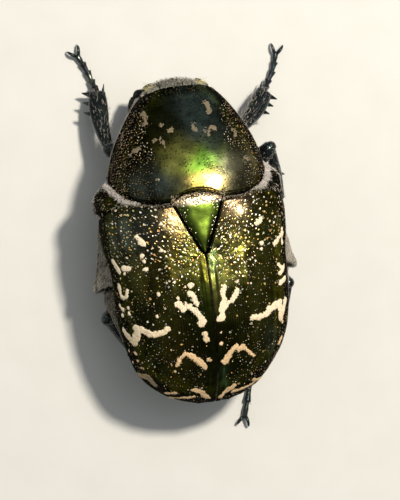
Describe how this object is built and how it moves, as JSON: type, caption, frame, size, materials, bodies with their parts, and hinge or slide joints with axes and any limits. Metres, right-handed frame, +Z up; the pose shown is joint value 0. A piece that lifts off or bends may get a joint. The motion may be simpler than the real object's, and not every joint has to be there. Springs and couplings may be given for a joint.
{
  "type": "copper chafer beetle",
  "caption": "Life-size copper chafer standing on its six feet, head bent down, bronze-green wing cases with pale marks closed over its back.",
  "frame": {"origin": "on the floor, under the middle of the model's outline seen from above", "axes": "the beetle faces -Y, +Z is up and +X is its left side"},
  "size_m": [0.0134, 0.0234, 0.0084],
  "materials": {
    "bronze_cuticle": "glossy metallic cuticle, bronze to black-green, finely pitted",
    "green_cuticle": "glossy metallic leaf-green cuticle",
    "black_cuticle": "black cuticle with a green-bronze gleam and pale short hairs",
    "eye_facets": "dark brown compound eye of fine facets"
  },
  "bodies": {
    "root": {"abdomen": "bronze_cuticle", "antenna_left": "black_cuticle", "antenna_right": "black_cuticle", "elytron_left": "bronze_cuticle", "elytron_right": "bronze_cuticle", "eye_left": "eye_facets", "eye_right": "eye_facets", "femur_front_left": "black_cuticle", "femur_front_right": "black_cuticle", "femur_hind_left": "black_cuticle", "femur_hind_right": "black_cuticle", "femur_middle_left": "black_cuticle", "femur_middle_right": "black_cuticle", "head": "black_cuticle", "mesepimeron_left": "bronze_cuticle", "mesepimeron_right": "bronze_cuticle", "prothorax": "bronze_cuticle", "pterothorax": "black_cuticle", "pygidium": "bronze_cuticle", "scutellum": "green_cuticle", "tarsus_front_left": "black_cuticle", "tarsus_front_right": "black_cuticle", "tarsus_hind_left": "black_cuticle", "tarsus_hind_right": "black_cuticle", "tarsus_middle_left": "black_cuticle", "tarsus_middle_right": "black_cuticle", "tibia_front_left": "black_cuticle", "tibia_front_right": "black_cuticle", "tibia_hind_left": "black_cuticle", "tibia_hind_right": "black_cuticle", "tibia_middle_left": "black_cuticle", "tibia_middle_right": "black_cuticle"}
  },
  "joints": []
}
